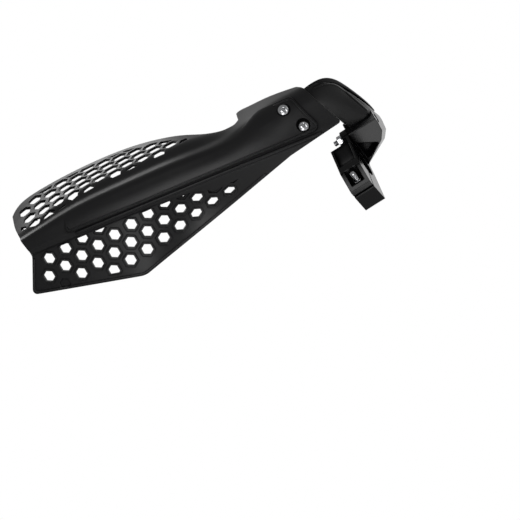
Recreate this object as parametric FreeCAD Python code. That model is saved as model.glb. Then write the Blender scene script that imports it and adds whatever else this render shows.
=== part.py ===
import FreeCAD, Part
import math
import os

os.makedirs("parts", exist_ok=True)
V = FreeCAD.Vector

# Handlebar clamp, millimetres. The bore axis is X, inboard is +X, the rider sits at +Y, Z is up.
bar_d = 22.0
bar_clearance = 0.1
clamp_width = 20.0
clamp_tilt = 36.9
split_gap = 1.5
clamp_bolt_y = -23.0
nut_seat_z = 4.5
head_seat_z = -12.0
hinge_y = 21.0
hinge_z = 21.0
eye_r = 6.5
eye_x0 = 4.3
eye_x1 = 10.7
lug_x0 = 11.0
lug_x1 = 39.0
head_sink = 0.5
lug_web = 1.6
lug_hollow = 20.0
hollow_floor = 5.0

# Fasteners: M5 throughout.
bolt_d = 5.0
bolt_clearance = 0.25
hex_af = 8.0
nut_h = 4.0
bolt_head_h = 3.5
button_head_d = 9.5
button_head_h = 2.75
button_rim_h = 0.9
socket_af = 3.0
socket_floor = 1.2
pocket_clearance = 0.2
thread_clearance = 0.1
washer_d = 10.0
washer_t = 1.0
clamp_stick_out = 8.0
hinge_stick_out = 4.0

# Shield sheet and its own datum frame, turned on the bar by two angles.
sheet = 2.6
wing_sheet = 1.7
fit_gap = 0.3
shield_yaw = 4.6
shield_pitch = 6.9
bar_in_shield = V(195.0, 83.8, -68.4)
front_depth = 36.5
front_bow = 0.0010
front_bow_x = 60.0
row_y = -4.0
panel_h = 2.0
panel_lap = 1.5
panel_sink = 0.35
panel_root = 0.7
step_start = -14.3
step_fall = 0.046
crease_start = -19.3
crease_fall = 0.057
lean_tip = 10.0
lean_root = 48.0
lap_back = 2.0
lap_down = 1.4
wing_reach = 62.0

# Honeycomb vents.
hole_af = 9.0
top_hole_af = 10.5
min_part = 0.09
imprint_depth = 0.7
cell_rim = 1.9
top_cell_rim = 1.4
cell_depth = 0.6
pitch_row = 17.1
row_rise = 2.0
pitch_col = V(-7.1, 0, -13.7)
lower_start = (-43.1, -34.3)
top_start = (20.1, 15.7)
top_pitch_a = (15.0, -5.4)
top_pitch_b = (-3.5, 15.0)

# Shield screws in the shield's frame.
screw_spots = [V(168.0, 0, 4.8), V(178.0, 0, -14.6)]
recess_d = 12.2
recess_depth = 0.6
plate_t = 7.0


def clamp01(t):
    return max(0.0, min(1.0, t))


def smooth(t):
    t = clamp01(t)
    return t * t * (3.0 - 2.0 * t)


# Lines of the shield, each as a function of the distance x along it.
def front_y(x):
    return -front_depth + front_bow * (x - front_bow_x) ** 2


def top_slope(x):
    return 0.29 + 0.00004 * min(x + 4.0, 0.0) ** 2


def top_z(x):
    tip_drop = 0.0021 * min(x + 4.0, 0.0) ** 2
    saddle = 6.0 * math.exp(-((x - 120.0) / 32.0) ** 2)
    return 21.0 - tip_drop - 3.0 * clamp01((x - 40.0) / 150.0) - saddle


def step_z(x):
    return step_start - step_fall * x


def crease_z(x):
    return crease_start - crease_fall * x


def wing_lean(x):
    return math.radians(lean_tip + (lean_root - lean_tip) * smooth((x + 5.0) / 110.0))


def valley(x):
    return 1.0 - smooth((x - 85.0) / 50.0)


def row_line(x):
    return row_y + 8.0 * smooth((-60.0 - x) / 50.0)


def spine_poles(x):
    """Control points of the outer line from the top wing over the valley and the spine to the step."""
    s = top_slope(x)
    y0 = row_line(x)
    z0 = top_z(x) + s * y0
    y1 = front_y(x) - 2.0
    z1 = step_z(x)
    w = y0 - y1
    h = z0 - z1
    k = valley(x)
    return [(y0, z0),
            (y0 - 0.22 * w, z0 - 0.22 * w * s),
            (y0 - (0.52 - 0.12 * k) * w, z0 - (0.12 + 0.20 * k) * h),
            (y0 - (0.72 - 0.02 * k) * w, z0 - (0.26 + 0.08 * k) * h),
            (y0 - 0.98 * w, z0 - 0.50 * h),
            (y1, z1)]


def wing_root(x):
    """Start of the lower wing, lapped back under the crease."""
    return (front_y(x) + lap_back, crease_z(x) - lap_down)


def outer_line(x):
    """Top edge, spine control points, lower crease, wing root, lower edge; cut to the outline later."""
    top = (wing_reach, top_z(x) + top_slope(x) * wing_reach)
    low = (front_y(x), crease_z(x))
    root = wing_root(x)
    lean = wing_lean(x)
    end = (root[0] + wing_reach * math.sin(lean), root[1] - wing_reach * math.cos(lean))
    return [top] + spine_poles(x) + [low, root, end]


# Wall thickness at each point of that line: thin on the top wing, full from the spine down.
walls = [wing_sheet, wing_sheet]
walls += [wing_sheet + (sheet - wing_sheet) * k / 5.0 for k in range(1, 6)]
walls += [sheet, sheet, sheet]


def offset_line(pts, depths):
    """The same line moved to the back of the sheet by a depth at each point, mitred."""
    out = []
    for i in range(len(pts)):
        normals = []
        for j in (i - 1, i):
            if j < 0 or j > len(pts) - 2:
                continue
            a = pts[j + 1][0] - pts[j][0]
            b = pts[j + 1][1] - pts[j][1]
            m = math.hypot(a, b)
            normals.append((-b / m, a / m))
        nx = sum(q[0] for q in normals)
        ny = sum(q[1] for q in normals)
        f = depths[i] / (nx * normals[0][0] + ny * normals[0][1])
        out.append((pts[i][0] + f * nx, pts[i][1] + f * ny))
    return out


stations = [-106, -85, -64, -42, -20, 5, 30, 55, 80, 105, 130, 155, 180, 220]


def length_curves(depths):
    """One smooth curve along the shield through each point of the section."""
    lines = [offset_line(outer_line(x), depths) for x in stations]
    curves = []
    for j in range(len(lines[0])):
        c = Part.BSplineCurve()
        c.interpolate(Points=[V(x, *ln[j]) for x, ln in zip(stations, lines)],
                      Parameters=[float(x) for x in stations])
        curves.append(c)
    return curves


def strip(curves, degree):
    """The surface that runs along the given curves, straight or rounded across them."""
    first = curves[0]
    inner = len(curves) - degree - 1
    s = Part.BSplineSurface()
    s.buildFromPolesMultsKnots(
        [list(q) for q in zip(*[c.getPoles() for c in curves])],
        first.getMultiplicities(), [degree + 1] + [1] * inner + [degree + 1],
        first.getKnots(), [float(i) for i in range(inner + 2)],
        False, False, first.Degree, degree)
    return s.toShape()


def close_body(faces, ends):
    """Close a set of strips with flat faces over the open ends and make them a solid."""
    for plane in ends:
        edges = [e for f in faces for e in f.Edges
                 if max(abs(plane(v.Point)) for v in e.Vertexes) < 1e-6
                 and abs(plane(e.valueAt((e.FirstParameter + e.LastParameter) / 2.0))) < 1e-6]
        faces.append(Part.Face(Part.Wire(Part.__sortEdges__(edges))))
    shell = Part.Shell(faces)
    shell.sewShape()
    solid = Part.Solid(shell)
    if solid.Volume < 0:
        solid.reverse()
    return solid


def sheet_body(extra):
    """The shield's sheet, from its outer face to the back of its wall and some extra."""
    a = length_curves([0.0 for w in walls])
    b = length_curves([w + extra for w in walls])
    faces = []
    for c in (a, b):
        faces += [strip(c[0:2], 1), strip(c[1:7], 3)]
        faces += [strip(c[j:j + 2], 1) for j in (6, 7, 8)]
    faces += [strip([a[0], b[0]], 1), strip([a[9], b[9]], 1)]
    return close_body(faces, [lambda p: p.x - stations[0], lambda p: p.x - stations[-1]])


def rounded_edges(pts, lift, closed):
    """Edges of an outline with a radius at each corner; lift turns its two coordinates into a point."""
    corners = []
    n = len(pts)
    for i in range(n):
        b = V(pts[i][0], pts[i][1], 0)
        r = pts[i][2]
        if not closed and i in (0, n - 1):
            corners.append((b, b, b, 0))
            continue
        u = V(pts[i - 1][0], pts[i - 1][1], 0) - b
        w = V(pts[(i + 1) % n][0], pts[(i + 1) % n][1], 0) - b
        u.normalize()
        w.normalize()
        half = u.getAngle(w) / 2.0
        bis = u + w
        bis.normalize()
        corners.append((b + u * (r / math.tan(half)), b + bis * (r / math.sin(half) - r),
                        b + w * (r / math.tan(half)), r))
    edges = []
    for i in range(n):
        a, m, c, r = corners[i]
        if r > 0:
            edges.append(Part.Arc(lift(a), lift(m), lift(c)).toShape())
        if closed or i < n - 1:
            d = corners[(i + 1) % n][0]
            edges.append(Part.makeLine(lift(c), lift(d)))
    return edges


def rounded_wire(pts, lift):
    return Part.Wire(rounded_edges(pts, lift, True))


def front_prism(pts):
    """Prism along Y over an outline drawn from the front."""
    return Part.Face(rounded_wire(pts, lambda p: V(p.x, -95, p.y))).extrude(V(0, 195, 0))


def side_prism(pts, x0, x1):
    """Prism along X over an outline in the clamp's own Y and Z."""
    return Part.Face(rounded_wire(pts, lambda p: V(x0, p.x, p.y))).extrude(V(x1 - x0, 0, 0))


def hex_prism(centre, axis, flat, af, back, front):
    """Hexagonal prism on an axis, one flat facing the given direction."""
    axis = V(axis)
    axis.normalize()
    side = flat - axis * flat.dot(axis)
    side.normalize()
    other = axis.cross(side)
    r = af / math.sqrt(3.0)
    pts = []
    for i in range(7):
        a = math.radians(30 + 60 * i)
        pts.append(centre - axis * back + side * (r * math.cos(a)) + other * (r * math.sin(a)))
    return Part.Face(Part.makePolygon(pts)).extrude(axis * (back + front))


def rod(centre, axis, d, back, front):
    axis = V(axis)
    axis.normalize()
    return Part.makeCylinder(d / 2.0, back + front, centre - axis * back, axis)


def fuse_all(shapes):
    out = shapes[0].multiFuse(shapes[1:])
    return out.removeSplitter()


# The shield.
def section_curve(x):
    """The spine line of one section as a curve."""
    c = Part.BSplineCurve()
    c.buildFromPolesMultsKnots([V(x, *q) for q in spine_poles(x)],
                               [4, 1, 1, 4], [0.0, 1.0, 2.0, 3.0], False, 3)
    return c


def spine_y(x, z):
    """Depth of the spine's outer face at a height."""
    c = section_curve(x)
    lo, hi = 0.0, 3.0
    for i in range(40):
        mid = (lo + hi) / 2.0
        if c.value(mid).z > z:
            lo = mid
        else:
            hi = mid
    return c.value(lo).y


def face_normal(x, z):
    """Forward normal of the spine's outer face."""
    fx = (spine_y(x + 2, z) - spine_y(x - 2, z)) / 4.0
    fz = (spine_y(x, z + 2) - spine_y(x, z - 2)) / 4.0
    n = V(fx, -1, fz)
    n.normalize()
    return n


def raised_panel():
    """The flat band on the spine that grows out of the shoulder and ends in the screw pad."""
    xs = [-60, -40, -15, 15, 45, 75, 100, 118, 130, 140, 150, 165, 180, 200]
    front = [[], [], [], []]
    back = [[], [], [], []]
    for x in xs:
        pad = smooth((x - 122.0) / 26.0)
        line = section_curve(x)
        v = 1.75 - 1.25 * pad
        g0 = line.tangent(v)[0]
        g1 = line.tangent(3.0)[0]
        top = line.value(v)
        low = line.value(3.0) + g1 * panel_lap
        third = (low - top).Length / 3.0
        poles = [top, top + g0 * third, low - g1 * third, low]
        n0 = V(0, g0.z, -g0.y)
        n1 = V(0, g1.z, -g1.y)
        lift = panel_h * pad - panel_sink * (1.0 - pad)
        lifts = [n0 * lift, n0 * ((lift + panel_h) / 2.0), n1 * panel_h, n1 * panel_h]
        roots = [n0 * -panel_root, n0 * -panel_root, n1 * -panel_root, n1 * -panel_root]
        for k in range(4):
            front[k].append(poles[k] + lifts[k])
            back[k].append(poles[k] + roots[k])
    curves = []
    for col in front + back:
        c = Part.BSplineCurve()
        c.interpolate(Points=col, Parameters=[float(x) for x in xs])
        curves.append(c)
    faces = [strip(curves[0:4], 3), strip(curves[4:8], 3), strip([curves[0], curves[4]], 1),
             strip([curves[3], curves[7]], 1)]
    solid = close_body(faces, [lambda p: p.x - xs[0], lambda p: p.x - xs[-1]])
    edge = front_prism([(-46.5, step_z(-46.5), 4), (191.5, step_z(191.5), 5), (178.0, 13.4, 5),
                        (138.5, 14.2, 3), (131.0, 5.0, 2), (120, 40, 0), (-30, 60, 0), (-39.5, 8, 5)])
    return solid.common(edge)


def top_trim():
    """What is cut away behind the top edge: wing, notch and tab, drawn from above."""
    wing = [(-96, 10), (-91, 26), (-80, 40), (-62, 46.5), (-42, 50), (-18, 52), (5, 50.5),
            (28, 44), (57, 28), (79, 11), (97, -3), (114, -8)]
    c = Part.BSplineCurve()
    c.interpolate(Points=[V(p[0], p[1], 0) for p in wing])
    rest = [(114, -8, 0), (123, -6, 4), (127, 2, 3), (125.6, 29.5, 5), (184.5, 2.5, 6), (190.5, -9, 0),
            (235, -30, 0), (235, 120, 0), (-130, 120, 0), (-130, 10, 0), (-96, 10, 0)]
    face = Part.Face(Part.Wire([c.toShape()] + rounded_edges(rest, lambda p: p, False)))
    return face.extrude(V(0, 0, 90)).translated(V(0, 0, 1.0))


def lower_holes():
    """Hexagonal vents of the lower wing, clipped by the crease and by the edge margin.

    One cell at the margin stays closed and is only pressed into the face."""
    margin = lap_down + 0.9
    field = [(-88.5, crease_z(-88.5) - margin, 2), (75, crease_z(75) - margin, 2), (81, -33.0, 2),
             (119, -33.0, 2), (104, -44.0, 4), (0, -66.4, 6), (-90.5, -42.2, 2)]
    field = front_prism(field)
    rim = front_prism([(-89.5, crease_z(-89.5) - margin, 2), (77, crease_z(77) - margin, 2), (83, -32.2, 2),
                       (121.5, -32.2, 2), (105, -45.4, 4), (0, -67.9, 6), (-91.8, -43.0, 2)])
    start = math.cos(math.radians(lean_tip))
    tools = []
    for r in range(4):
        for c in range(-2, 10):
            x = lower_start[0] + pitch_row * c + pitch_col.x * (r - 1)
            flat_z = lower_start[1] + row_rise * c + pitch_col.z * (r - 1)
            if x < -92 or x > 112:
                continue
            y0, z0 = wing_root(x)
            d = (z0 - flat_z) / start
            lean = wing_lean(x)
            down = V(0, math.sin(lean), -math.cos(lean))
            along = V(1, 2 * front_bow * (x - front_bow_x), -crease_fall)
            axis = down.cross(along)
            closed = r == 2 and c == -1
            back = imprint_depth if closed else 9
            p = V(x, y0, z0) + down * d
            h = hex_prism(p, axis, pitch_col, hole_af, back, 9)
            q = h.common(field)
            if closed:
                tools.append(h)
            elif q.Volume > min_part * h.Volume:
                cell = hex_prism(p, axis, pitch_col, hole_af + 2 * cell_rim, cell_depth, 9)
                tools += [q, cell.common(rim)]
    return tools


def top_holes():
    """Hexagonal vents of the top wing, clipped by the valley and by the back edge margin."""
    pts = [(-84, 0, 2), (-70, -9, 4), (-45, -12.5, 8), (60, -12.5, 8), (84, -4, 3), (50, 24.5, 4),
           (24, 39.5, 6), (0, 45.5, 8), (-40, 44.5, 6), (-64, 41, 6), (-82, 29, 3)]
    field = Part.Face(rounded_wire(pts, lambda p: V(p.x, p.y, -40))).extrude(V(0, 0, 120))
    flat = V(top_pitch_b[0], top_pitch_b[1], 0)
    tools = []
    for i in range(-8, 5):
        for j in range(-6, 7):
            x = top_start[0] + i * top_pitch_a[0] + j * top_pitch_b[0]
            y = top_start[1] + i * top_pitch_a[1] + j * top_pitch_b[1]
            if x < -92 or x > 84 or y < -20 or y > 54:
                continue
            s = top_slope(x)
            p = V(x, y, top_z(x) + s * y)
            up = V(0, -s, 1)
            h = hex_prism(p, up, flat, top_hole_af, 14, 10)
            q = h.common(field)
            if q.Volume > min_part * h.Volume:
                cell = hex_prism(p, up, flat, top_hole_af + 2 * top_cell_rim, cell_depth, 10)
                tools += [q, cell.common(field)]
    return tools


screw_axis = (face_normal(screw_spots[0].x, screw_spots[0].z)
              + face_normal(screw_spots[1].x, screw_spots[1].z))
screw_axis.normalize()
screw_seats = []
for s in screw_spots:
    p = V(s.x, spine_y(s.x, s.z), s.z)
    screw_seats.append(p - screw_axis * recess_depth)


def make_shield():
    outline = front_prism([(-88.5, 75, 0), (-89.8, 12, 25), (-82.5, -15.5, 10), (-98.3, -46.9, 4),
                           (0, -73.2, 16), (157, -33.2, 9), (208.8, -25.2, 2.5), (163.5, 75, 0)])
    s = sheet_body(0.0)
    s = s.common(outline)
    s = s.cut(top_trim())
    s = s.fuse(raised_panel())
    tools = []
    for p in screw_seats:
        tools.append(rod(p, screw_axis, recess_d, 0.0, 12.0))
        tools.append(rod(p, screw_axis, bolt_d + 2 * bolt_clearance, 12.0, 12.0))
    s = s.cut(tools)
    return s.cut(lower_holes() + top_holes())


# Depth of the plate's back face under a screw head's seat.
plate_back = sheet - recess_depth + fit_gap + plate_t


# The moulded arm: plate behind the shield, curved beam, end lug and fixed half of the clamp.
beam = [
    [V(184, -9, 12.5), V(184, -14, -8), V(184, -6, -8), V(184, -1, 12.5)],
    [V(198, -1, 9), V(193, 2, -7.5), V(188, 10, -3), V(203, 2, 17)],
    [V(208, 22, -2), V(197, 26, -11), V(195, 31, 3), V(215.5, 20, 12.5)],
    [V(216, 45, -13), V(200, 47, -17.5), V(200.5, 53, -5), V(222.5, 47, 1.0)],
    [V(225, 70, -26), V(203.5, 70, -28), V(204.5, 78, -17), V(229, 75, -15)],
    [V(231, 90, -37), V(207, 90, -37), V(207, 99, -26), V(231, 99, -26)],
]
beam_pace = [0.0, 22.0, 50.0, 80.0, 108.0, 132.0]
beam_chamfer = 1.0
beam_soft = 0.3
rail_part = 0.17
groove_part = 0.16
groove_depth = 2.2


def beam_section(quad):
    """Beam section: soft lower inboard corner, three cut corners, a groove between two rails on top."""
    soft = [quad[0] + (quad[3] - quad[0]) * beam_soft, quad[0] + (quad[1] - quad[0]) * beam_soft]
    pts = []
    for t in (0.0, 0.33, 0.67, 1.0):
        pts.append(soft[0] * (1 - t) ** 2 + quad[0] * (2 * t * (1 - t)) + soft[1] * t ** 2)
    for i in (1, 2, 3):
        a = quad[i - 1] - quad[i]
        b = quad[(i + 1) % 4] - quad[i]
        a.normalize()
        b.normalize()
        pts.append(quad[i] + a * beam_chamfer)
        pts.append(quad[i] + b * beam_chamfer)
    inward = quad[1] - quad[0]
    inward.normalize()
    upper = quad[3] + (quad[0] - quad[3]) * rail_part
    lower = quad[3] + (quad[0] - quad[3]) * (rail_part + groove_part)
    return pts + [upper, upper + inward * groove_depth, lower + inward * groove_depth, lower]


def make_beam():
    sections = [beam_section(q) for q in beam]
    curves = []
    for j in range(len(sections[0])):
        c = Part.BSplineCurve()
        c.interpolate(Points=[s[j] for s in sections], Parameters=beam_pace)
        curves.append(c)
    faces = [strip([curves[j - 1], curves[j]], 1) for j in range(len(curves))]
    last = beam[-1]
    across = (last[1] - last[0]).cross(last[3] - last[0])
    across.normalize()
    return close_body(faces, [lambda p: p.x - beam[0][0].x, lambda p: (p - last[0]).dot(across)])


def make_arm(place):
    c = (screw_seats[0] + screw_seats[1]) * 0.5
    plate = front_prism([(156.5, 11, 5), (184, 12.5, 4), (200.5, -21, 4), (164, -22.5, 6)])
    turn = FreeCAD.Rotation(V(0, 0, 1), screw_axis)
    slab = Part.makeBox(120, 120, plate_t + sheet, V(-60, -60, 0))
    slab.Placement = FreeCAD.Placement(c - screw_axis * (plate_back), turn)
    solid = fuse_all([make_beam(), plate.common(slab)])
    solid = solid.cut(sheet_body(fit_gap))
    solid = max(solid.Solids, key=lambda q: q.Volume)
    tools = []
    for p in screw_seats:
        back = p - screw_axis * (plate_back)
        tools.append(rod(p, screw_axis, bolt_d + 2 * bolt_clearance, 30.0, 5.0))
        tools.append(hex_prism(back, screw_axis, V(0, 0, 1), hex_af + 2 * pocket_clearance, 14.0, nut_h))
    return placed(solid.cut(tools), place)


shield_rot = FreeCAD.Rotation(V(0, 1, 0), shield_pitch).multiply(FreeCAD.Rotation(V(0, 0, 1), shield_yaw))
shield_place = FreeCAD.Placement(V(0, 0, 0), shield_rot).multiply(
    FreeCAD.Placement(bar_in_shield * -1.0, FreeCAD.Rotation()))
clamp_place = FreeCAD.Placement(V(0, 0, 0), FreeCAD.Rotation(V(1, 0, 0), clamp_tilt))
half = clamp_width / 2.0
bar_r = bar_d / 2.0 + bar_clearance
split = split_gap / 2.0
bolt_hole = bolt_d + 2 * bolt_clearance
hinge_head_x = lug_x1 - bolt_head_h - head_sink


def placed(shape, place):
    s = shape.copy()
    s.Placement = place.multiply(s.Placement)
    return s


def make_fixed_half():
    lug = side_prism([(13.0, -3, 2), (16.0, 25, 2), (25.3, 33, 3), (40.5, 7.3, 3), (33.0, -8.9, 2),
                      (22, -12, 3)], lug_x0, lug_x1)
    root = side_prism([(13.2, -split, 0), (30.5, -split, 1), (33.5, -4.5, 2), (22, -10.5, 3),
                       (13.2, -13.5, 0)], -half, lug_x1)
    seat = side_prism([(30.5, -split, 1), (33.5, -4.5, 2), (22, -10.5, 3), (0, -17, 6), (-28.3, -22.5, 1.5),
                       (-32.5, -split, 1)], -half, half)
    taper = front_prism([(-60, 60, 0), (lug_x1, 60, 0), (lug_x1, 26.5, 3), (lug_x1 - 1.5, 17.6, 2),
                         (31.8, 10.9, 3), (half, -0.7, 2), (half, -60, 0), (-60, -60, 0)])
    block = fuse_all([placed(s, clamp_place) for s in (lug, root, seat)])
    return block.common(taper)


def make_mount_arm():
    arm = fuse_all([make_arm(shield_place), make_fixed_half()])
    bore = Part.makeCylinder(bar_r, 120, V(-60, 0, 0), V(1, 0, 0))
    hinge = rod(V(0, hinge_y, hinge_z), V(1, 0, 0), bolt_hole, 5, 60)
    clear = Part.makeBox(lug_x0 + 60, 60, 60, V(-60, 8, -split))
    hollow = Part.makeBox(lug_x1 - lug_x0, lug_hollow, 30, V(lug_x0 + lug_web, 0, -hollow_floor))
    hollow = placed(hollow, clamp_place).common(front_prism(
        [(10, 22.0, 0), (29.5, 10.7, 1), (27.5, 9.6, 1), (10, 0.8, 0)]))
    pocket = hex_prism(V(hinge_head_x, hinge_y, hinge_z), V(1, 0, 0), V(0, 0, 1),
                       hex_af + 2 * pocket_clearance, 0, 40)
    clamp = rod(V(0, clamp_bolt_y, 0), V(0, 0, 1), bolt_hole, 40, 20)
    head = hex_prism(V(0, clamp_bolt_y, head_seat_z), V(0, 0, 1), V(0, 1, 0),
                     hex_af + 2 * pocket_clearance, 30, 0)
    tools = [placed(t, clamp_place) for t in (bore, hinge, clear, pocket, clamp, head)]
    return arm.cut(tools + [hollow])


def make_cap():
    blank = side_prism([(14.5, split, 1), (14.5, 12, 3), (12.5, 23, 1.5), (-18.3, 18.2, 2),
                        (-32.5, 6.2, 1.5), (-32.5, split, 1)], -half, half)
    eye = rod(V(eye_x0, hinge_y, hinge_z), V(1, 0, 0), 2 * eye_r, 0, eye_x1 - eye_x0)
    neck = side_prism([(9, 22.5, 0), (hinge_y, hinge_z + eye_r, 0), (hinge_y, hinge_z - eye_r, 0),
                       (13.5, 2, 0), (9, 2, 0)], eye_x0, eye_x1)
    cap = fuse_all([blank, eye, neck])
    bore = Part.makeCylinder(bar_r, 60, V(-30, 0, 0), V(1, 0, 0))
    hinge = rod(V(0, hinge_y, hinge_z), V(1, 0, 0), bolt_hole, 30, 30)
    clamp = rod(V(0, clamp_bolt_y, 0), V(0, 0, 1), bolt_hole, 5, 30)
    pocket = Part.makeBox(13, 12.2, 30, V(-6.5, clamp_bolt_y - 6.3, nut_seat_z))
    scallop = Part.makeCylinder(24, clamp_width - 4, V(-half + 2, -2, 41.5), V(1, 0, 0))
    return placed(cap.cut([bore, hinge, clamp, pocket, scallop]), clamp_place)


# Fasteners.
def hex_bolt(seat, axis, flat, length):
    """Hexagon bolt whose shank runs from the seat along the axis."""
    head = hex_prism(seat, axis, flat, hex_af, bolt_head_h, 0)
    return fuse_all([head, rod(seat, axis, bolt_d, 0.5, length)])


def hex_nut(seat, axis, flat):
    n = hex_prism(seat, axis, flat, hex_af, 0, nut_h)
    return n.cut(rod(seat, axis, bolt_d + 2 * thread_clearance, 5, nut_h + 5))


def button_screw(seat, axis, length):
    """Button-head screw with a hexagon socket."""
    rim = rod(seat, axis, button_head_d, 0, button_rim_h)
    h = button_head_h - button_rim_h
    r = ((button_head_d / 2.0) ** 2 + h * h) / (2.0 * h)
    ball = Part.makeSphere(r, seat + axis * (button_head_h - r))
    dome = ball.common(rod(seat + axis * button_rim_h, axis, button_head_d, 0, h + 1))
    socket = hex_prism(seat + axis * socket_floor, axis, V(0, 0, 1), socket_af, 0, 5)
    return fuse_all([rim, dome, rod(seat, axis, bolt_d, length, 0.5)]).cut(socket)


def write(name, shape):
    shape.exportStep("parts/" + name + ".step")
    print(name, shape.isValid(), len(shape.Solids), round(shape.Volume), len(shape.Faces))


ex = V(1, 0, 0)
ez = V(0, 0, 1)
write("shield", placed(make_shield(), shield_place))
write("mount_arm", make_mount_arm())
write("clamp_cap", make_cap())
write("shield_screws", placed(Part.makeCompound([button_screw(p, screw_axis, 12.0) for p in screw_seats]),
                              shield_place))
write("shield_nuts", placed(Part.makeCompound(
    [hex_nut(p - screw_axis * plate_back, screw_axis, ez) for p in screw_seats]), shield_place))
write("clamp_bolt", placed(hex_bolt(V(0, clamp_bolt_y, head_seat_z), ez, V(0, 1, 0),
                                    nut_seat_z + nut_h + clamp_stick_out - head_seat_z), clamp_place))
write("clamp_nut", placed(hex_nut(V(0, clamp_bolt_y, nut_seat_z), ez, V(0, 1, 0)), clamp_place))
hinge_head = V(hinge_head_x, hinge_y, hinge_z)
hinge_len = hinge_head.x - eye_x0 + washer_t + nut_h + hinge_stick_out
write("hinge_bolt", placed(hex_bolt(hinge_head, ex * -1.0, ez, hinge_len), clamp_place))
washer = rod(V(eye_x0, hinge_y, hinge_z), ex, washer_d, washer_t, 0)
washer = washer.cut(rod(V(eye_x0, hinge_y, hinge_z), ex, bolt_hole, 5, 5))
write("hinge_washer", placed(washer, clamp_place))
write("hinge_nut", placed(hex_nut(V(eye_x0 - washer_t, hinge_y, hinge_z), ex * -1.0, ez), clamp_place))
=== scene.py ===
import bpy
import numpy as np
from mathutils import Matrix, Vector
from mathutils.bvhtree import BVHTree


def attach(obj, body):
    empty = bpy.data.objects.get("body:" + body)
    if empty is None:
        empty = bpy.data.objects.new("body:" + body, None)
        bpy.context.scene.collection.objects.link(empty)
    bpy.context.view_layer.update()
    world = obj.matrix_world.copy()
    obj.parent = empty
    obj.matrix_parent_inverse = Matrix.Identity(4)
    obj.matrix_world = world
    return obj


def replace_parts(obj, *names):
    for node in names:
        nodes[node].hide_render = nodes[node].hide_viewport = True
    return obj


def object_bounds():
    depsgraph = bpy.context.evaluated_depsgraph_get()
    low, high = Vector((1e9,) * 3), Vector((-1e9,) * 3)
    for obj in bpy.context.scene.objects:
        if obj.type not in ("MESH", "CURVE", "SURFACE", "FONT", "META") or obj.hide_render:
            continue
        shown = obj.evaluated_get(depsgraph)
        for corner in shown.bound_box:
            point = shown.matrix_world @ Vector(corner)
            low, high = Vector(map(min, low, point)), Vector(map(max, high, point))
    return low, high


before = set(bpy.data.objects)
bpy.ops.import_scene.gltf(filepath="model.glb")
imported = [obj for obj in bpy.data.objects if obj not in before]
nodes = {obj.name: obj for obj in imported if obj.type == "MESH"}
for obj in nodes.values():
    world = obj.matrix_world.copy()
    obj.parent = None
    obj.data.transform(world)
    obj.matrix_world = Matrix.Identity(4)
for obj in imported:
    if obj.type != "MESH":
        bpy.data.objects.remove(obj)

# %% [markdown]
# # A motorcycle hand guard
#
# The guard is a thin moulded shield with honeycomb vents. A curved arm carries it and clamps on the
# handlebar. The construction model gives every solid in its place. This file gives each one its finish,
# adds the low collars and ridges of the mouldings, swaps the plain fasteners for threaded and chamfered
# ones, and sets up a plain studio with a camera.

cad_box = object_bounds()
MM = 0.001
# The camera's directions and the point it looks at. The arm's ridge and the lights use them too.
view_dir = Vector((-0.1719, 0.9850, 0.0154))
view_up = Vector((0.5242, 0.0782, 0.8480))
view_right = view_dir.cross(view_up)
target = Vector((-105.1, -54.7, -22.5)) * MM
# On a Mix node set to colour, these sockets are the two colours and the result.
first_colour = 6
second_colour = 7
mixed_colour = 2
print("nodes:", ", ".join(sorted(nodes)))


def linear(hex_colour):
    """sRGB hex to linear RGBA: a channel c becomes ((c + 0.055) / 1.055) ** 2.4, or c / 12.92 near black."""
    c = np.array([int(hex_colour[i:i + 2], 16) for i in (1, 3, 5)]) / 255
    lin = np.where(c > 0.04045, ((c + 0.055) / 1.055) ** 2.4, c / 12.92)
    return (*lin.tolist(), 1.0)


def add(tree, kind, links=(), **settings):
    """Add a node, set its properties or inputs by name, and link (socket, input name) pairs into it."""
    node = tree.nodes.new(kind)
    for name, value in settings.items():
        if name in node.inputs:
            node.inputs[name].default_value = value
        else:
            setattr(node, name, value)
    for socket, name in links:
        tree.links.new(socket, node.inputs[name])
    return node


def spread(tree, value, start=0.0, end=1.0, low=0.0, high=1.0, curve="LINEAR"):
    """Carry a value from start..end over to low..high, and hold it at both ends."""
    node = add(tree, "ShaderNodeMapRange", [(value, "Value")], interpolation_type=curve)
    for name, number in (("From Min", start), ("From Max", end), ("To Min", low), ("To Max", high)):
        node.inputs[name].default_value = number
    return node.outputs[0]


def two_tone(tree, share, first, second):
    """Mix two hex colours by a share."""
    node = add(tree, "ShaderNodeMix", [(share, 0)], data_type="RGBA")
    node.inputs[first_colour].default_value = linear(first)
    node.inputs[second_colour].default_value = linear(second)
    return node.outputs[mixed_colour]


def new_material(name):
    """An empty node material with its output node."""
    mat = bpy.data.materials.new(name)
    mat.use_nodes = True
    mat.node_tree.nodes.clear()
    return mat, mat.node_tree, add(mat.node_tree, "ShaderNodeOutputMaterial")


def dress(names, mat):
    """Give CAD nodes a material."""
    for name in names:
        nodes[name].data.materials.clear()
        nodes[name].data.materials.append(mat)
    print(mat.name, "on", ", ".join(names))


# %% [markdown]
# ## Plastics
#
# Both plastics are black and injection moulded, and what tells them apart is the mould. The shield's mould
# was spark-eroded, so its polypropylene has a fine even grain and a satin surface: broad soft lights and no
# mirror image. The arm's mould was polished, so its nylon shows sharper lights. A picture of a moulded
# surface could be painted on, but a noise in real millimetres holds at any distance, so that is used here.
# Moulded edges are never sharp, and a rounded-edge normal goes in under the grain. In tight corners an
# occlusion node turns the gloss down: a painted shade that darkens creases, steps and recesses.

# %% Black moulded plastic
rough_drift = 0.06
# Occlusion values at which the painted shade in corners takes all the gloss away, and gives it all back.
painted_shade_full_at = 0.68
painted_shade_none_at = 0.98


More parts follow.
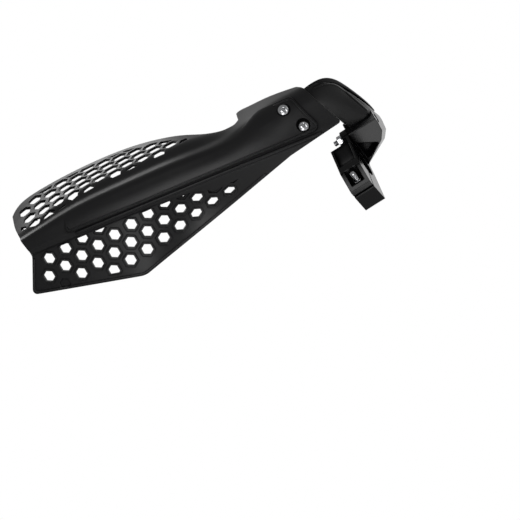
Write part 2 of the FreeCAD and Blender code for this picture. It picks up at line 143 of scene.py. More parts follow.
def moulded_plastic(name, colour, pale, roughness, gloss, grain_mm, grain_height_mm, edge_mm,
                    painted_shade_mm, flow_mm):
    """Dielectric plastic: colour and roughness drift with the melt flow, and a grain bumps rounded edges.

    Gloss climbs from nothing in a tight corner to its full value on an open face: a painted shade in
    creases."""
    mat, tree, out = new_material(name)
    coord = add(tree, "ShaderNodeTexCoord").outputs["Object"]
    flow = add(tree, "ShaderNodeTexNoise", [(coord, "Vector")], Scale=1 / (flow_mm * MM), Detail=3.0)
    tint = two_tone(tree, flow.outputs["Fac"], colour, pale)
    # Painted shade: an occlusion node turns the gloss down in creases, steps and recesses.
    corner = add(tree, "ShaderNodeAmbientOcclusion", samples=8, Distance=painted_shade_mm * MM)
    gloss_in_painted_shade = spread(tree, corner.outputs["AO"], start=painted_shade_full_at, end=painted_shade_none_at, high=gloss)
    rough = spread(tree, flow.outputs["Fac"], low=roughness - rough_drift, high=roughness + rough_drift)
    grain = add(tree, "ShaderNodeTexNoise", [(coord, "Vector")], Scale=1 / (grain_mm * MM), Detail=2.0)
    edge = add(tree, "ShaderNodeBevel", samples=6, Radius=edge_mm * MM)
    bump = add(tree, "ShaderNodeBump", [(grain.outputs["Fac"], "Height"), (edge.outputs[0], "Normal")],
               Strength=0.3, Distance=grain_height_mm * MM)
    bsdf = add(tree, "ShaderNodeBsdfPrincipled", [(tint, "Base Color"), (rough, "Roughness"),
               (bump.outputs[0], "Normal"), (gloss_in_painted_shade, "Specular IOR Level")], IOR=1.49)
    tree.links.new(bsdf.outputs[0], out.inputs["Surface"])
    return mat


# Satin black: a soft broad light and a fine grain. The real grain is about 0.2 mm wide; it is drawn at
# 0.9 mm because the real one would vanish here.
polypropylene = moulded_plastic("polypropylene_spark_eroded_satin", colour="#0e0e0f", pale="#141415",
                                roughness=0.34, gloss=0.28, grain_mm=0.9, grain_height_mm=0.03,
                                edge_mm=1.0, painted_shade_mm=5.0, flow_mm=45)
# Deeper black with narrower lights, so the arm reads as the harder and smoother of the two.
nylon = moulded_plastic("glass_filled_nylon_polished_mould", colour="#070708", pale="#0a0a0b",
                        roughness=0.20, gloss=0.24, grain_mm=1.6, grain_height_mm=0.012,
                        edge_mm=0.8, painted_shade_mm=5.0, flow_mm=25)
dress(["shield"], polypropylene)
dress(["mount_arm", "clamp_cap"], nylon)

# %% [markdown]
# ## Smooth curves, crisp folds
#
# The solids arrive as loose triangles, so each one would shade flat. A Weld joins them, which lets light
# run smoothly over the moulded curves, and an Edge Split opens the seams again where two faces meet at a
# real fold. Setting the mesh's own normals would do the same, but a CAD mesh is left as it is.

# %% Weld and split every solid
fold_angle = np.radians(17.0)
weld_mm = 0.002
for node in nodes.values():
    weld = node.modifiers.new("weld", "WELD")
    weld.merge_threshold = weld_mm * MM
    split = node.modifiers.new("folds", "EDGE_SPLIT")
    split.split_angle = fold_angle
print("folds sharper than", round(np.degrees(fold_angle)), "degrees stay crisp")

# %% [markdown]
# ## Zinc-plated fasteners
#
# Screws, bolts, nuts and the washer are steel with bright zinc plating. One even grey metal would look like
# paint. The plating bath leaves a faint cloudiness, so colour and gloss drift over a couple of millimetres.
# Tight places such as thread roots and sockets get a painted shade, a dark colour mixed in by occlusion.

# %% Zinc-plated steel, bright dipped
clear_spot = 0.06
cloudy_spot = 0.08
# Occlusion values over which the painted shade colour in tight places gives way to the plated metal.
painted_shade_from = 0.2
painted_shade_to = 0.6


def plated_steel(name, colour, shade, painted_shade_colour, roughness, cloud_mm, painted_shade_mm, edge_mm):
    """Metal whose colour and gloss drift with the plating's clouds, with a painted shade colour in tight
    corners.
    """
    mat, tree, out = new_material(name)
    coord = add(tree, "ShaderNodeTexCoord").outputs["Object"]
    cloud = add(tree, "ShaderNodeTexNoise", [(coord, "Vector")], Scale=1 / (cloud_mm * MM), Detail=4.0)
    tint = two_tone(tree, cloud.outputs["Fac"], colour, shade)
    # Painted shade: occlusion mixes a dark colour into the metal in thread roots, sockets and tight places.
    corner = add(tree, "ShaderNodeAmbientOcclusion", samples=8, Distance=painted_shade_mm * MM)
    unshaded_share = spread(tree, corner.outputs["AO"], start=painted_shade_from, end=painted_shade_to)
    painted_shade_mix = add(tree, "ShaderNodeMix", [(unshaded_share, 0), (tint, second_colour)], data_type="RGBA")
    painted_shade_mix.inputs[first_colour].default_value = linear(painted_shade_colour)
    rough = spread(tree, cloud.outputs["Fac"], low=roughness - clear_spot, high=roughness + cloudy_spot)
    edge = add(tree, "ShaderNodeBevel", samples=6, Radius=edge_mm * MM)
    bsdf = add(tree, "ShaderNodeBsdfPrincipled", [(painted_shade_mix.outputs[mixed_colour], "Base Color"),
               (rough, "Roughness"), (edge.outputs[0], "Normal")], Metallic=1.0)
    tree.links.new(bsdf.outputs[0], out.inputs["Surface"])
    return mat


# Pale, slightly cool metal with a clear mirror image: the bright spots on a black part.
zinc = plated_steel("zinc_plated_steel_bright", colour="#d2d3d5", shade="#a2a3a6", painted_shade_colour="#1c1d1f",
                    roughness=0.18, cloud_mm=2.0, painted_shade_mm=2.5, edge_mm=0.15)
print("made", zinc.name)

# %% [markdown]
# ## Where each fastener sits
#
# A new bolt has to lie exactly in the place of the plain one, so its axis is measured from the CAD mesh.
# On a turned or hexagonal solid, the face area is spread evenly round the axis. Adding up every face's
# area times its normal, squared, gives a table whose one odd direction is the axis. No place is typed in.

# %% Measure a fastener's axis
def triangles_of(name):
    """Corner points of a node's triangles in millimetres, as an array of triangle, corner, axis."""
    mesh = nodes[name].data
    co = np.empty(len(mesh.vertices) * 3)
    mesh.vertices.foreach_get("co", co)
    mesh.calc_loop_triangles()
    tri = np.empty(len(mesh.loop_triangles) * 3, dtype=np.int64)
    mesh.loop_triangles.foreach_get("vertices", tri)
    return co.reshape(-1, 3)[tri].reshape(-1, 3, 3) / MM


def odd_direction(tri):
    """The axis, and one direction across it, from the table of face area times normal squared."""
    normal = np.cross(tri[:, 1] - tri[:, 0], tri[:, 2] - tri[:, 0])
    area = np.linalg.norm(normal, axis=1)
    unit = normal / np.maximum(area, 1e-12)[:, None]
    share, ways = np.linalg.eigh(np.einsum("i,ij,ik->jk", area, unit, unit))
    odd = 0 if share[1] - share[0] > share[2] - share[1] else 2
    return ways[:, odd], ways[:, 1]


def measure(tri, hint):
    """Axis, lowest point on it and corner direction of one fastener; hint points along it."""
    axis, across = odd_direction(tri)
    axis = axis * np.sign(axis @ hint)
    other = np.cross(axis, across)
    pts = tri.reshape(-1, 3)
    middle = [(pts @ w).min() / 2 + (pts @ w).max() / 2 for w in (across, other)]
    line = across * middle[0] + other * middle[1]
    flat = pts - line - np.outer(pts @ axis, axis)
    corner = flat[np.argmax(np.linalg.norm(flat, axis=1))]
    reach = np.linalg.norm(corner)
    along = pts @ axis
    return {"axis": axis, "base": line + axis * along.min(), "length": np.ptp(along),
            "corner": corner / reach, "reach": reach}


def halves(tri):
    """Split a node with two equal fasteners side by side: seen along the axis, which side of the middle."""
    axis = odd_direction(tri)[0]
    centre = tri.mean(axis=1)
    flat = centre - np.outer(centre @ axis, axis)
    spread_out = flat - (flat.min(axis=0) + flat.max(axis=0)) / 2
    far = spread_out[np.argmax(np.linalg.norm(spread_out, axis=1))]
    side = spread_out @ far > 0
    return tri[side], tri[~side]


# %% Measure all of them
bar = np.array([1.0, 0.0, 0.0])
up = np.array([0.0, 0.0, 1.0])
forward = np.array([0.0, -1.0, 0.0])
hints = {"clamp_bolt": up, "clamp_nut": up, "hinge_bolt": -bar, "hinge_nut": -bar, "hinge_washer": -bar}
places = {name: [measure(triangles_of(name), hint)] for name, hint in hints.items()}
for name in ("shield_screws", "shield_nuts"):
    places[name] = [measure(tri, forward) for tri in halves(triangles_of(name))]
for name, found in places.items():
    for m in found:
        print(name, "length", round(m["length"], 2), "reach", round(m["reach"], 2))

# %% [markdown]
# ## Turned and threaded surfaces
#
# Every fastener here is one grid: rows go along its profile and columns go round the axis. A row holds a
# height and a radius for each angle. A circle repeats one radius, a hexagon divides half its width by the
# cosine of the angle from the nearest flat, and a thread adds a saw-tooth that moves up one pitch per turn.
# The same could be cut with Booleans, but a grid is clean, closed and quick.

# %% Rows of a turned surface
thread_d = 5.0
pitch = 0.8
thread_depth = 0.45
run_out = 0.6
crest_flat = 0.125
cone_fall = 0.58
columns = 72
angle = np.arange(columns) * 2 * np.pi / columns


def ring(z, r):
    """Rows of circles: heights and radii, the same all round."""
    z = np.atleast_1d(np.asarray(z, float))
    r = np.atleast_1d(np.asarray(r, float))
    return z[:, None] + 0 * angle, r[:, None] + 0 * angle


def hexagon(across_flats):
    """Radius of a hexagon by angle, with a corner at angle zero."""
    return across_flats / 2 / np.cos((angle % (np.pi / 3)) - np.pi / 6)


def chamfered_end(across_flats, z, way, start, steps=5):
    """Rows from a circle out to the hexagon; the cone falls 0.58 for each unit of radius, 30 degrees."""
    t = np.linspace(0, 1, steps)[:, None]
    r = start + t * (np.maximum(hexagon(across_flats), start) - start)
    return z - way * cone_fall * (r - start), r


def thread(z0, z1, steps_per_pitch=10):
    """Rows of a screw thread: radius falls from the crest by a saw-tooth of height minus turn.

    Crest and root have a small flat, and the tooth runs out at both ends."""
    count = int((z1 - z0) / pitch * steps_per_pitch)
    z = np.linspace(z0, z1, count)[:, None] + 0 * angle
    tooth = np.abs(((z / pitch - angle / (2 * np.pi)) % 1) * 2 - 1)
    fade = np.clip(np.minimum(z - z0, z1 - z) / (run_out * pitch), 0, 1)
    crest = np.clip(tooth * (1 + 2 * crest_flat) - crest_flat, 0, 1)
    return z, thread_d / 2 - thread_depth * crest * fade


print("thread M", thread_d, "pitch", pitch, "in", columns, "columns")

# %% [markdown]
# ## From rows to a piece
#
# Rows become points round a measured axis, and points become quads. One helper makes the object, so each
# piece gets the same smooth shading with crisp folds, and says which body it belongs to.

# %% Faces and pieces
piece_fold = np.radians(28)


def ring_faces(points, closed):
    """Points in millimetres as rows of rings, and the quads between them; open ends get a cap."""
    n, m = points.shape[:2]
    i = np.arange(n if closed else n - 1)[:, None] * m
    j = np.arange(m)[None, :]
    k = (j + 1) % m
    above = (i + m) % (n * m)
    quads = np.stack([i + j, i + k, above + k, above + j], axis=-1).reshape(-1, 4).tolist()
    caps = [] if closed else [list(range(m))[::-1], list(range((n - 1) * m, n * m))]
    return points.reshape(-1, 3) * MM, quads + caps


def solid_of(place, rows, closed):
    """Turn rows into points round a measured axis: base + axis * height + radius * direction."""
    z = np.vstack([r[0] for r in rows])
    r = np.vstack([r[1] for r in rows])
    side = place["corner"] - place["axis"] * (place["corner"] @ place["axis"])
    side = side / np.linalg.norm(side)
    other = np.cross(place["axis"], side)
    around = np.cos(angle)[:, None] * side + np.sin(angle)[:, None] * other
    return ring_faces(place["base"] + z[..., None] * place["axis"] + r[..., None] * around, closed)


def piece(name, parts, mat):
    """One object from a list of surfaces, in its place, riding with the part."""
    points = np.vstack([p for p, f in parts])
    starts = np.cumsum([0] + [len(p) for p, f in parts])
    faces = [[int(v + s) for v in face] for (p, f), s in zip(parts, starts) for face in f]
    mesh = bpy.data.meshes.new(name)
    mesh.from_pydata(points, [], faces)
    mesh.shade_smooth()
    mesh.materials.append(mat)
    obj = bpy.data.objects.new(name, mesh)
    bpy.context.scene.collection.objects.link(obj)
    folds = obj.modifiers.new("folds", "EDGE_SPLIT")
    folds.split_angle = piece_fold
    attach(obj, "root")
    print(name, len(faces), "faces")
    return obj


def fastener(name, node, parts):
    """The zinc-plated piece that takes a plain node's place."""
    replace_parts(piece(name, parts, zinc), node)


# %% [markdown]
# ## The shield's own frame
#
# The shield sits at a slant on the arm. Its vents lie on straight rows only in the shield's own frame, so
# collars and ridges are drawn there and then turned into the part's frame, whose origin is the middle of
# the handlebar. They could be drawn in the part's frame at once, but every number would hold the slant.

# %% From the shield's frame to the part's
bar_in_shield = np.array([195.0, 83.8, -68.4])
yaw = np.radians(4.6)
dip = np.radians(6.9)
turn_z = np.array([[np.cos(yaw), -np.sin(yaw), 0], [np.sin(yaw), np.cos(yaw), 0], [0, 0, 1]])
turn_y = np.array([[np.cos(dip), 0, np.sin(dip)], [0, 1, 0], [-np.sin(dip), 0, np.cos(dip)]])
shield_turn = turn_y @ turn_z
print("shield turned by", round(np.degrees(yaw), 1), "and", round(np.degrees(dip), 1), "degrees")

# %% [markdown]
# ## The lower wing
#
# The lower wing hangs from a crease that falls slowly along the shield, and it leans back more and more
# towards the mount. The solid could be measured point by point, but the wing follows short formulas, so
# they are used here.

# %% Crease, lean and frame of the lower wing
crease_start = -19.3
crease_fall = 0.057
tip_lean = 10.0
more_lean = 38.0
lean_from = -5.0
lean_over = 110.0
crease_front = -36.5
crease_bow = 0.001
bow_middle = 60.0
root_back = 2.0
root_drop = 1.4


def crease_z(x):
    """Height of the crease between spine and lower wing, in the shield's own frame."""
    return crease_start - crease_fall * x


def wing_lean(x):
    """How far the lower wing leans back: 10 degrees at the tip, 48 at the root, eased between."""
    t = np.clip((x - lean_from) / lean_over, 0, 1)
    return np.radians(tip_lean + more_lean * t * t * (3 - 2 * t))


def wing_frame(x, flat_z):
    """A place on the wing, the axis of a vent there and the wing's normal, which also has the twist.

    The place is the crease plus a way down the leaning wing. flat_z is the height that the place would
    have if the whole wing leaned as its tip does."""
    lean = wing_lean(x)
    root = np.array([x, crease_front + crease_bow * (x - bow_middle) ** 2 + root_back,
                     crease_z(x) - root_drop])
    down = np.array([0.0, np.sin(lean), -np.cos(lean)])
    far = (root[2] - flat_z) / np.cos(np.radians(tip_lean))
    along = np.array([1.0, 2 * crease_bow * (x - bow_middle), -crease_fall])
    axis = np.cross(down, along)
    axis = axis / np.linalg.norm(axis)
    twist = (wing_lean(x + 1) - wing_lean(x - 1)) / 2 * far
    normal = np.cross(down, along + twist * np.array([0.0, np.cos(lean), np.sin(lean)]))
    return root + down * far, axis, normal


print("lean at tip and root:", [round(np.degrees(wing_lean(x))) for x in (lean_from, lean_from + lean_over)])

# %% [markdown]
# ## Outlines of the vents
#
# A vent is a hexagon, cut short where the margin of the wing or the crease comes near. Outlines could be
# cut by Booleans in the plane, but seen from the vent's middle each side is a straight line, and the
# nearest line in every direction is the outline.

# %% Hexagons clipped by the margin
field_corners = np.array([(-89.0, 0.0), (119.0, 0.0), (104.0, -44.0), (0.0, -66.4), (-90.5, -42.2)])
field_growth = np.array([(-1.0, 0.0), (1.7, 0.0), (0.7, -1.0), (0.0, -1.0), (-1.0, -0.5)])
crease_ends = np.array([-89.0, 121.0])
crease_gap = 2.3
level_from = 78
level_top = -33.0
nearly_nothing = 1e-6
far_away = 1e3


def side_lines(outline):
    """Outward direction and distance of each side of an outline that turns clockwise from the front."""
    a = np.array(outline, float)
    along = np.roll(a, -1, axis=0) - a
    out_way = np.c_[-along[:, 1], along[:, 0]] / np.linalg.norm(along, axis=1)[:, None]
    return out_way, np.sum(out_way * a, axis=1)


def vent_field(x, spare):
    """Outline that clips the vents near x; spare widens it at the free edges.

    Its top follows the crease, and is level for the vents nearest the mount."""
    outline = field_corners + spare * field_growth
    outline[:2, 1] = crease_z(crease_ends) - crease_gap if x < level_from else level_top + spare / 2
    return side_lines(outline)


def clipped(af, side, other, centre, lines):
    """Radius by angle: the nearest of all sides, where a side at distance d lies at d / cosine.

    Also the room: how far the centre lies inside the nearest margin."""
    ways, far = lines
    flat = np.arange(6) * np.pi / 3
    slope = np.c_[ways @ side[[0, 2]], ways @ other[[0, 2]]]
    left = far - ways @ centre[[0, 2]]
    rate = slope @ np.array([np.cos(angle), np.sin(angle)])
    edge = np.where(rate > nearly_nothing, left[:, None] / np.maximum(rate, nearly_nothing), far_away)
    hexes = af / 2 / np.maximum(np.cos(angle[None, :] - flat[:, None]), nearly_nothing)
    return np.minimum(edge.min(axis=0), hexes.min(axis=0)), left.min()


# %% [markdown]
# ## Collars round the lower vents
#
# On the lower wing most vents are framed by a low collar, which stiffens the thin web. Vents close to the
# margin have none. A collar could be cut from the wing with Booleans, but it is one ring between two
# outlines: the vent's own hexagon and a wider one.

# %% Vent collars
vent_af = 9.0
collar_w = 1.8
collar_h = 0.45
collar_profile = np.array([0.0, 0.6, 1.0, 1.0, 0.5, 0.0])
inner_round = 0.25
outer_round = 0.35
collar_spare = 1.4
least_room = 2.0
cell_depth = 0.6
foot_lift = 0.02
first_cell = (-43.1, -34.3)
row_step = (17.1, 2.0)
column_step = (-7.1, -13.7)
column_way = np.array([column_step[0], 0.0, column_step[1]])
cell_rows = range(-1, 3)
row_cells = range(-2, 10)
wing_ends = (-92, 112)
# At this row and cell of the pattern the solid has no vent.
no_vent = (1, -1)


def collar(x, flat_z):
    """Closed ring: up the vent's wall, over a rounded top and down to the floor of the sunk cell.

    The rows climb the inner wall first, which leaves the faces pointing inwards."""
    centre, axis, normal = wing_frame(x, flat_z)
    side = column_way - axis * (column_way @ axis)
    side = side / np.linalg.norm(side)
    other = np.cross(axis, side)
    inner, room = clipped(vent_af, side, other, centre, vent_field(x, 0.0))
    if room < least_room:
        return None
    outer = clipped(vent_af + 2 * collar_w, side, other, centre, vent_field(x, collar_spare))[0]
    r = np.stack([inner, inner, inner + inner_round, outer - outer_round, outer, outer])
    plane = side[:, None] * np.cos(angle) + other[:, None] * np.sin(angle)
    face = -(normal @ plane) / (normal @ axis) * r
    z = face + collar_profile[:, None] * collar_h
    z[[0, -1]] = np.minimum(face[[0, -1]], -cell_depth) + foot_lift
    points = centre + r[..., None] * plane.T + z[..., None] * axis
    return ring_faces((points - bar_in_shield) @ shield_turn.T, True)


cells = [(first_cell[0] + row_step[0] * c + column_step[0] * r,
          first_cell[1] + row_step[1] * c + column_step[1] * r)
         for r in cell_rows for c in row_cells if (r, c) != no_vent]
collars = [collar(x, z) for x, z in cells if wing_ends[0] <= x <= wing_ends[1]]
collars = [c for c in collars if c is not None]
piece("vent_collars_moulded", collars, polypropylene)
print("collars:", len(collars))

# %% [markdown]
# ## Tracks on a face
#
# A ridge follows the face that carries it. Its track is drawn on a plane in front of the solid, and lines
# are cast from there until they meet it. A projected curve could do the same, but two tracks side by side
# also give the tilt of the face.

# %% Drawing planes and cast lines
stand_off = 95.0


def tree_of(name):
    """Search tree over a node's triangles."""
    tri = triangles_of(name)
    return BVHTree.FromPolygons(tri.reshape(-1, 3).tolist(), np.arange(len(tri) * 3).reshape(-1, 3).tolist())


# Each drawing plane: where its origin lies, its two directions, the way it looks and the solid it meets.
shield_front = (-shield_turn @ (bar_in_shield + [0, stand_off, 0]), shield_turn[:, 0], shield_turn[:, 2],
                shield_turn[:, 1], tree_of("shield"))
arm_side = (np.array(target - view_dir) / MM, np.array(view_right), np.array(view_up), np.array(view_dir),
            tree_of("mount_arm"))


def cast(track, plane):
    """Where lines from a drawing plane meet the solid; the track holds the plane's two coordinates."""
    origin, wide, tall, into, solid = plane
    start = origin + track[:, :1] * wide + track[:, 1:] * tall
    hits = [solid.ray_cast(Vector(p), Vector(into))[0] for p in start]
    return np.array([h if h is not None else (np.nan,) * 3 for h in hits], float)


# %% [markdown]
# ## Ridges on the shield and the arm
#
# Long thin mouldings get low ridges that stiffen them: one in the band under the panel, one inside the free
# edge of the lower wing and one along the panel's own border. The arm has one beside its groove. Each could
# be a bevelled curve, but an arc laid between two cast tracks follows the tilt of the face.

# %% A ridge along a track
station = 1.2
round_over = 7
taper_len = 6.0
arc_columns = 9
ridge_lift = 0.01


def smooth_track(corners):
    """Even stations along a line of corners, rounded by a running mean, and their distances."""
    a = np.array(corners, float)
    far = np.r_[0, np.cumsum(np.linalg.norm(np.diff(a, axis=0), axis=1))]
    step = np.linspace(0, far[-1], int(far[-1] / station))
    path = np.c_[np.interp(step, far, a[:, 0]), np.interp(step, far, a[:, 1])]
    mean = np.ones(round_over) / round_over
    padded = [np.pad(c, round_over // 2, mode="edge") for c in path.T]
    return np.array([np.convolve(c, mean, "valid") for c in padded]).T, step


def bead(corners, width, height, plane):
    """Across the path half an ellipse of this width and height; along it the face, with tapered ends.

    Where the face nears the front of the part's box, the ridge gets lower and stays inside it. The order
    of its columns leaves the faces pointing inwards."""
    path, step = smooth_track(corners)
    along = np.gradient(path, axis=0)
    along = along / np.linalg.norm(along, axis=1)[:, None]
    across = np.c_[-along[:, 1], along[:, 0]] * width / 2
    low = cast(path - across, plane)
    high = cast(path + across, plane)
    fine = ~np.isnan(low + high).any(axis=1)
    low, high, step = low[fine], high[fine], step[fine]
    normal = np.cross(np.gradient(low + high, axis=0), high - low)
    normal = normal / np.linalg.norm(normal, axis=1)[:, None]
    normal = normal * -np.sign(normal @ plane[3])[:, None]
    taper = np.sqrt(np.clip(np.minimum(step - step[0], step[-1] - step) / taper_len, 0.0, 1.0))
    room = np.minimum(low, high)[:, 1] - cad_box[0][1] / MM
    tall = np.clip(room, 0.0, height) * taper
    t = np.linspace(-1, 1, arc_columns)
    arc = tall[:, None] * np.sqrt(1 - t * t)[None, :] + ridge_lift
    mid = (low + high)[:, None] / 2 + (high - low)[:, None] / 2 * t[None, :, None]
    return ring_faces(mid + normal[:, None] * arc[..., None], False)


# %% Ridges
band_start = -16.8
band_fall = 0.0515
band = [(x, band_start - band_fall * x) for x in range(-40, 197, 4)]
free_edge = [(-82.0, -18.0), (-96.0, -45.8), (0.0, -71.5), (132.0, -37.9)]
panel_edge = [(-42.6, -6.0), (-44.4, -10.7), (60.0, -15.6), (189.2, -21.5), (176.9, 11.5), (160.0, 11.8)]
rail = [(45.2, 147.3), (53.9, 151.6), (63.4, 152.5), (71.2, 148.6), (83.4, 139.0), (94.7, 129.9)]
beads = [bead(band, width=2.8, height=0.9, plane=shield_front),
         bead(free_edge, width=2.2, height=0.6, plane=shield_front),
         bead(panel_edge, width=1.6, height=0.45, plane=shield_front)]
piece("stiffening_beads_moulded", beads, polypropylene)
piece("arm_rail_moulded", [bead(rail, width=2.0, height=0.7, plane=arm_side)], nylon)

# %% [markdown]
# ## Hexagon bolts
#
# The clamp bolt pulls the cap down on the bar, and the hinge bolt is the cap's pivot. A real head is
# chamfered at 30 degrees, which draws a curved line on every flat. The shank is plain under the head and
# threaded towards its tip, and the tip has a lead-in cone. A cylinder with a bump could pass for a thread
# from far away, but the ends show from the side here, so the thread is real.

# %% Clamp bolt and hinge bolt
head_af = 8.0
head_h = 3.5
chamfer_share = 0.46
chamfer_r = head_af * chamfer_share
bolt_lead = 0.5


def hex_bolt(place, thread_len):
    """Head from its top down, seat, plain shank, thread and tip, as rows from base to tip."""
    tip = place["length"]
    rows = [chamfered_end(head_af, 0.0, -1, chamfer_r),
            (np.full((1, columns), head_h), hexagon(head_af)[None, :]),
            ring([head_h, head_h, tip - thread_len], [chamfer_r, thread_d / 2, thread_d / 2]),
            thread(tip - thread_len, tip - bolt_lead),
            ring([tip - bolt_lead, tip], [thread_d / 2, thread_d / 2 - bolt_lead])]
    return solid_of(place, rows, False)


fastener("clamp_bolt_threaded", "clamp_bolt", [hex_bolt(places["clamp_bolt"][0], thread_len=16.0)])
fastener("hinge_bolt_threaded", "hinge_bolt", [hex_bolt(places["hinge_bolt"][0], thread_len=12.0)])

# %% [markdown]
# ## Nuts and washer
#
# A nut is chamfered on both ends, and its bore is countersunk so that the thread starts cleanly. The washer
# is stamped, which leaves a small round on its edges. A plain prism with a hole would do from far away, but
# the chamfer is what catches the light. Each is a closed ring, so its rows end where they began.

# %% Nuts and washer
bore_r = 2.6
sink = 0.35


def hex_nut(place):
    """Ring rows: lower countersink, lower chamfer, flats, upper chamfer, upper countersink, bore."""
    h = place["length"]
    low = chamfered_end(head_af, 0.0, -1, chamfer_r)
    high = chamfered_end(head_af, h, 1, chamfer_r)
    rows = [ring([sink, 0.0], [bore_r, bore_r + sink]), low,
            (high[0][::-1], high[1][::-1]), ring([h, h - sink], [bore_r + sink, bore_r])]
    return solid_of(place, rows, True)


def flat_washer(place, bore=2.75, edge=0.15):
    """Ring rows round a rectangle with small rounds at its outer corners."""
    h = place["length"]
    r = place["reach"]
    t = np.linspace(0, np.pi / 2, 4)
    rows = [ring([0.0, 0.0], [bore, r - edge]),
            ring(edge - edge * np.cos(t), r - edge + edge * np.sin(t)),
            ring(h - edge + edge * np.sin(t), r - edge + edge * np.cos(t)),
            ring([h, h], [r - edge, bore])]
    return solid_of(place, rows, True)


fastener("clamp_nut_chamfered", "clamp_nut", [hex_nut(places["clamp_nut"][0])])
fastener("hinge_nut_chamfered", "hinge_nut", [hex_nut(places["hinge_nut"][0])])
fastener("hinge_washer_stamped", "hinge_washer", [flat_washer(places["hinge_washer"][0])])
fastener("shield_nuts_chamfered", "shield_nuts", [hex_nut(m) for m in places["shield_nuts"]])

# %% [markdown]
# ## Button-head screws
#
# Two button-head screws hold the shield. The head is a low dome with a hexagon socket, and the mouth of the
# socket is broken by a small cone, which catches the light as a bright ring. The socket could be cut with a
# Boolean, but as the last rows of the same grid it needs no cut.

# %% Shield screws
shank_len = 12.0
dome_h = 2.75
rim_h = 0.9
rim_edge = 0.15
socket_af = 3.0
socket_floor = 1.2
mouth_r = 1.95
mouth_depth = 0.3
screw_lead = 0.4
plain_len = 1.0


def button_screw(place):
    """Rows from the tip up the thread to the seat, rim, dome, socket mouth, socket wall and floor."""
    seat = shank_len
    r = place["reach"]
    rise = dome_h - rim_h
    ball = (r * r + rise * rise) / (2 * rise)
    t = np.linspace(0, 1, 12)
    dome_r = r + (mouth_r - r) * t
    dome_z = seat + dome_h - ball + np.sqrt(ball * ball - dome_r * dome_r)
    wall = hexagon(socket_af)[None, :]
    rows = [ring([0.0, screw_lead], [thread_d / 2 - screw_lead, thread_d / 2]),
            thread(screw_lead, seat - plain_len),
            ring([seat - plain_len, seat, seat], [thread_d / 2, thread_d / 2, r - rim_edge]),
            ring([seat + rim_edge, seat + rim_h], [r, r]), ring(dome_z[1:], dome_r[1:]),
            (np.full((1, columns), dome_z[-1] - mouth_depth), wall),
            (np.full((1, columns), seat + socket_floor), wall)]
    return solid_of(place, rows, False)


fastener("shield_screws_socket", "shield_screws", [button_screw(m) for m in places["shield_screws"]])

# %% [markdown]
# ## Floor
#
# The part hangs in front of a white sweep of paper. The camera sees white all round. In reflections only
# the sweep behind the part is white, and the room on the camera's side is dimmer, as a studio is, so black
# plastic keeps its depth. One white surround would be simpler, but it would wash the black out.

# %% Floor sheet
floor_drop = 420 * MM
floor_z = cad_box[0][2] - floor_drop
floor_reach = 12.0
corners = np.array([(-1, -1), (1, -1), (1, 1), (-1, 1)]) * floor_reach
floor_mesh = bpy.data.meshes.new("floor")
floor_mesh.from_pydata(np.c_[corners, np.full(4, floor_z)], [], [(0, 1, 2, 3)])
floor = bpy.data.objects.new("floor", floor_mesh)
bpy.context.scene.collection.objects.link(floor)
print("floor at", round(floor_z / MM), "mm")


# %% Floor paper
def white_to_eyes(tree, direct, mirrored):
    """Share of white: camera rays see the first share, glossy and transmission rays the second."""
    path = add(tree, "ShaderNodeLightPath").outputs
    bent = add(tree, "ShaderNodeMath", [(path["Is Glossy Ray"], 0), (path["Is Transmission Ray"], 1)],
               use_clamp=True)
    bent = add(tree, "ShaderNodeMath", [(bent.outputs[0], 0), (mirrored, 1)], operation="MULTIPLY")
    seen = add(tree, "ShaderNodeMath", [(path["Is Camera Ray"], 0), (direct, 1)], operation="MULTIPLY")
    both = add(tree, "ShaderNodeMath", [(bent.outputs[0], 0), (seen.outputs[0], 1)], use_clamp=True)
    return both.outputs[0]


# Matt pale paper, white behind the part and far away. From below it is clear, so a low view isn't blocked.
mat, tree, out = new_material("pale_floor_paper")
paper = add(tree, "ShaderNodeBsdfDiffuse", Color=linear("#efefef"))
glow = add(tree, "ShaderNodeEmission", Color=(1, 1, 1, 1), Strength=1.0)
spot = add(tree, "ShaderNodeTexCoord").outputs["Object"]
behind = add(tree, "ShaderNodeSeparateXYZ", [(spot, 0)]).outputs["Y"]
sweep = spread(tree, behind, start=0.6, end=1.5, curve="SMOOTHSTEP")
away = add(tree, "ShaderNodeVectorMath", [(spot, 0)], operation="LENGTH").outputs["Value"]
fade = spread(tree, away, start=0.5, end=1.3, curve="SMOOTHSTEP")
share = white_to_eyes(tree, fade, sweep)
mix = add(tree, "ShaderNodeMixShader", [(share, 0), (paper.outputs[0], 1), (glow.outputs[0], 2)])
clear = add(tree, "ShaderNodeBsdfTransparent")
below = add(tree, "ShaderNodeNewGeometry").outputs["Backfacing"]
mix = add(tree, "ShaderNodeMixShader", [(below, 0), (mix.outputs[0], 1), (clear.outputs[0], 2)])
tree.links.new(mix.outputs[0], out.inputs["Surface"])
floor_mesh.materials.append(mat)
print("floor wears", mat.name)

# %% [markdown]
# ## Surround
#
# Round the floor is the room. The camera sees it white. Reflections see it white only behind the part and
# not overhead, and dim elsewhere. A photograph of a studio could light the part, but two soft ramps by
# direction are enough for black plastic.

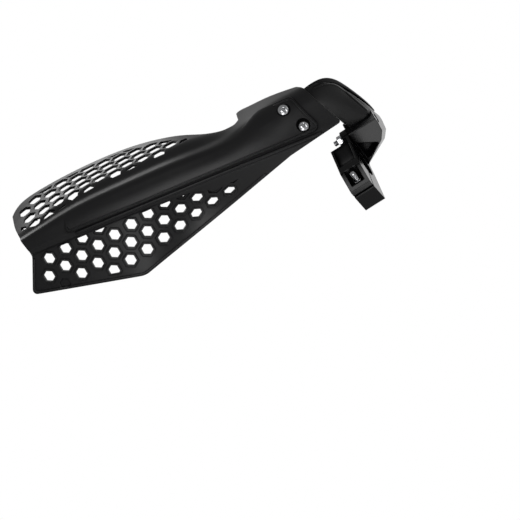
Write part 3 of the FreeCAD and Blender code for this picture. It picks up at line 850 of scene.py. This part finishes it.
# %% Surround
dim_room = 0.3
world = bpy.data.worlds.new("studio")
bpy.context.scene.world = world
world.use_nodes = True
tree = world.node_tree
tree.nodes.clear()
out = add(tree, "ShaderNodeOutputWorld")
way = add(tree, "ShaderNodeSeparateXYZ", [(add(tree, "ShaderNodeTexCoord").outputs["Generated"], 0)])
back = spread(tree, way.outputs["Y"], start=-0.5, end=0.45, curve="SMOOTHSTEP")
roof = spread(tree, way.outputs["Z"], start=0.25, end=0.65, low=1.0, high=0.0, curve="SMOOTHSTEP")
room = add(tree, "ShaderNodeMath", [(back, 0), (roof, 1)], operation="MULTIPLY")
soft = add(tree, "ShaderNodeBackground", Color=(1, 1, 1, 1), Strength=dim_room)
white = add(tree, "ShaderNodeBackground", Color=(1, 1, 1, 1), Strength=1.0)
every = add(tree, "ShaderNodeValue")
every.outputs[0].default_value = 1.0
share = white_to_eyes(tree, every.outputs[0], room.outputs[0])
mix = add(tree, "ShaderNodeMixShader", [(share, 0), (soft.outputs[0], 1), (white.outputs[0], 2)])
tree.links.new(mix.outputs[0], out.inputs["Surface"])
print("room at", dim_room, "of white")

# %% [markdown]
# ## Lights
#
# Five soft lights do the rest: one from the front, one low in front for the lower wing, one along the arm,
# one behind the top wing and a small one under the arm's lug. One large light would be simpler, but black
# plastic shows its form only by the lights mirrored in it, so each form gets its own.

# %% Lights, placed by the camera's own directions
middle = Vector((-0.13, -0.06, 0.035))


def soft_light(name, right, above, near, width, height, watts):
    """A rectangular lamp at a distance to the right, above and nearer, turned to the part's middle."""
    data = bpy.data.lights.new(name, "AREA")
    data.shape = "RECTANGLE"
    data.size = width
    data.size_y = height
    data.energy = watts
    obj = bpy.data.objects.new(name, data)
    bpy.context.scene.collection.objects.link(obj)
    obj.location = middle + view_right * right + view_up * above - view_dir * near
    obj.rotation_euler = (middle - obj.location).to_track_quat("-Z", "Y").to_euler()
    obj.visible_camera = False
    print(name, watts, "W")


soft_light("front_softbox", right=-0.40, above=0.42, near=1.4, width=0.9, height=0.5, watts=5.8)
soft_light("low_softbox", right=-0.1, above=-0.42, near=1.1, width=0.7, height=0.5, watts=3.4)
soft_light("arm_strip", right=0.8, above=0.5, near=0.9, width=0.15, height=0.7, watts=1.6)
soft_light("top_softbox", right=-0.28, above=0.24, near=-0.38, width=0.32, height=0.24, watts=0.36)
soft_light("low_strip", right=0.24, above=-0.23, near=0.14, width=0.12, height=0.12, watts=0.16)

# %% [markdown]
# ## Camera
#
# The camera stands level in front of the shield, a little to the clamp's side, with a long lens, and the
# picture is turned so that the guard runs up to the right. The directions at the top of this file are that
# camera's. A nearer camera would show more perspective than the long lens does.

# %% Camera
field = 451.8 * MM
distance = 5.0
cam_data = bpy.data.cameras.new("camera")
cam_data.sensor_fit = "HORIZONTAL"
cam_data.sensor_width = 36.0
cam_data.lens = cam_data.sensor_width * distance / field
camera = bpy.data.objects.new("camera", cam_data)
bpy.context.scene.collection.objects.link(camera)
turn = Matrix((view_right, view_up, -view_dir)).transposed().to_4x4()
camera.matrix_world = Matrix.Translation(target - view_dir * distance) @ turn
bpy.context.scene.camera = camera
bpy.context.scene.view_settings.view_transform = "Standard"
print("lens", round(cam_data.lens, 1), "mm")
